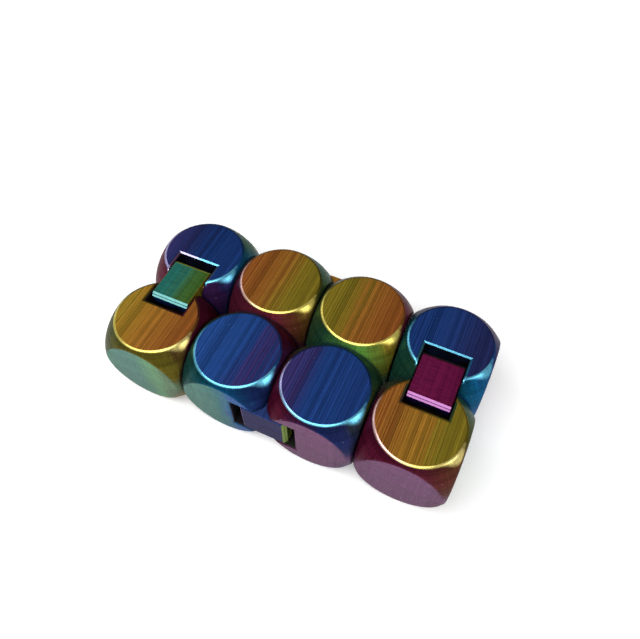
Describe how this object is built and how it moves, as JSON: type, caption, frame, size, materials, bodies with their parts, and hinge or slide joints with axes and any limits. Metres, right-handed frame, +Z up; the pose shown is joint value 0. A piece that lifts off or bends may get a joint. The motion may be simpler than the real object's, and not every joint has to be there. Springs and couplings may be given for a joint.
{
  "type": "folding infinity cube puzzle",
  "caption": "Fidget puzzle of rounded cubes in a closed folding ring, joined by two-pin hinge links, lying flat.",
  "frame": {"origin": "centre of the footprint, on the surface the puzzle lies on", "axes": "+X along the long side, +Y from the front row to the back row, +Z up"},
  "size_m": [0.0796, 0.0396, 0.0196],
  "materials": {
    "cube_front_1": "printed silk plastic, olive and brown, colour changing with the side it is seen from",
    "cube_front_2": "printed silk plastic, royal blue and teal, colour changing with the side it is seen from",
    "cube_front_3": "printed silk plastic, blue and purple, colour changing with the side it is seen from",
    "cube_front_4": "printed silk plastic, brown and olive, colour changing with the side it is seen from",
    "cube_back_1": "printed silk plastic, navy and teal, colour changing with the side it is seen from",
    "cube_back_2": "printed silk plastic, brown and olive, colour changing with the side it is seen from",
    "cube_back_3": "printed silk plastic, olive and brown, colour changing with the side it is seen from",
    "cube_back_4": "printed silk plastic, indigo and teal, colour changing with the side it is seen from",
    "link_front_12": "printed silk plastic, green, colour changing with the side it is seen from",
    "link_front_23": "printed silk plastic, purple-grey, colour changing with the side it is seen from",
    "link_front_34": "printed silk plastic, magenta, colour changing with the side it is seen from",
    "link_back_12": "printed silk plastic, teal, colour changing with the side it is seen from",
    "link_back_23": "printed silk plastic, magenta, colour changing with the side it is seen from",
    "link_back_34": "printed silk plastic, magenta, colour changing with the side it is seen from",
    "link_end_1": "printed silk plastic, green and teal, colour changing with the side it is seen from",
    "link_end_4": "printed silk plastic, maroon and magenta, colour changing with the side it is seen from"
  },
  "bodies": {
    "cube_front_1": {"cube_front_1": "cube_front_1"},
    "cube_front_2": {"cube_front_2": "cube_front_2"},
    "cube_front_3": {"cube_front_3": "cube_front_3"},
    "cube_front_4": {"cube_front_4": "cube_front_4"},
    "cube_back_1": {"cube_back_1": "cube_back_1"},
    "cube_back_2": {"cube_back_2": "cube_back_2"},
    "cube_back_3": {"cube_back_3": "cube_back_3"},
    "cube_back_4": {"cube_back_4": "cube_back_4"},
    "link_front_12": {"link_front_12": "link_front_12"},
    "link_front_23": {"link_front_23": "link_front_23"},
    "link_front_34": {"link_front_34": "link_front_34"},
    "link_back_12": {"link_back_12": "link_back_12"},
    "link_back_23": {"link_back_23": "link_back_23"},
    "link_back_34": {"link_back_34": "link_back_34"},
    "link_end_1": {"link_end_1": "link_end_1"},
    "link_end_4": {"link_end_4": "link_end_4"}
  },
  "joints": [
    {"name": "left_fold_front_inner", "type": "hinge", "parent": "cube_front_2", "child": "link_front_12", "pos_m": [-0.01805, -0.01, 0.00175], "axis": [0, -1, 0], "range_deg": [0, 90]},
    {"name": "left_fold", "type": "hinge", "parent": "link_front_12", "child": "cube_front_1", "pos_m": [-0.02195, -0.01, 0.00175], "axis": [0, -1, 0], "range_deg": [0, 90]},
    {"name": "row_fold_left_inner", "type": "hinge", "parent": "cube_front_1", "child": "link_end_1", "pos_m": [-0.03, -0.00195, 0.01785], "axis": [1, 0, 0], "range_deg": [0, 90]},
    {"name": "row_fold", "type": "hinge", "parent": "link_end_1", "child": "cube_back_1", "pos_m": [-0.03, 0.00195, 0.01785], "axis": [1, 0, 0], "range_deg": [0, 90]},
    {"name": "left_fold_back_inner", "type": "hinge", "parent": "cube_back_1", "child": "link_back_12", "pos_m": [-0.02195, 0.01, 0.00175], "axis": [0, 1, 0], "range_deg": [0, 90]},
    {"name": "left_fold_back_outer", "type": "hinge", "parent": "link_back_12", "child": "cube_back_2", "pos_m": [-0.01805, 0.01, 0.00175], "axis": [0, 1, 0], "range_deg": [0, 90]},
    {"name": "half_fold_back_inner", "type": "hinge", "parent": "cube_back_2", "child": "link_back_23", "pos_m": [-0.00195, 0.01805, 0.0098], "axis": [0, 0, 1], "range_deg": [0, 90]},
    {"name": "half_fold_back_outer", "type": "hinge", "parent": "link_back_23", "child": "cube_back_3", "pos_m": [0.00195, 0.01805, 0.0098], "axis": [0, 0, 1], "range_deg": [0, 90]},
    {"name": "right_fold_back_inner", "type": "hinge", "parent": "cube_back_3", "child": "link_back_34", "pos_m": [0.01805, 0.01, 0.00175], "axis": [0, 1, 0], "range_deg": [0, 90]},
    {"name": "right_fold_back_outer", "type": "hinge", "parent": "link_back_34", "child": "cube_back_4", "pos_m": [0.02195, 0.01, 0.00175], "axis": [0, 1, 0], "range_deg": [0, 90]},
    {"name": "half_fold_front_inner", "type": "hinge", "parent": "cube_front_2", "child": "link_front_23", "pos_m": [-0.00195, -0.01805, 0.0098], "axis": [0, 0, -1], "range_deg": [0, 90]},
    {"name": "half_fold_front_outer", "type": "hinge", "parent": "link_front_23", "child": "cube_front_3", "pos_m": [0.00195, -0.01805, 0.0098], "axis": [0, 0, -1], "range_deg": [0, 90]},
    {"name": "right_fold_front_inner", "type": "hinge", "parent": "cube_front_3", "child": "link_front_34", "pos_m": [0.01805, -0.01, 0.00175], "axis": [0, 1, 0], "range_deg": [0, 90]},
    {"name": "right_fold", "type": "hinge", "parent": "link_front_34", "child": "cube_front_4", "pos_m": [0.02195, -0.01, 0.00175], "axis": [0, 1, 0], "range_deg": [0, 90]},
    {"name": "row_fold_right_inner", "type": "hinge", "parent": "cube_front_4", "child": "link_end_4", "pos_m": [0.03, -0.00195, 0.01785], "axis": [1, 0, 0], "range_deg": [0, 90]}
  ],
  "couplings": [
    {"joint": "left_fold_front_inner", "follows": "left_fold", "ratio": 1},
    {"joint": "row_fold_left_inner", "follows": "row_fold", "ratio": 1},
    {"joint": "left_fold_back_inner", "follows": "left_fold", "ratio": 1},
    {"joint": "left_fold_back_outer", "follows": "left_fold", "ratio": 1},
    {"joint": "half_fold_back_inner", "follows": "row_fold", "ratio": 1},
    {"joint": "half_fold_back_outer", "follows": "row_fold", "ratio": 1},
    {"joint": "right_fold_back_inner", "follows": "right_fold", "ratio": 1},
    {"joint": "right_fold_back_outer", "follows": "right_fold", "ratio": 1},
    {"joint": "half_fold_front_inner", "follows": "row_fold", "ratio": 1},
    {"joint": "half_fold_front_outer", "follows": "row_fold", "ratio": 1},
    {"joint": "right_fold_front_inner", "follows": "right_fold", "ratio": 1},
    {"joint": "row_fold_right_inner", "follows": "row_fold", "ratio": 1}
  ]
}
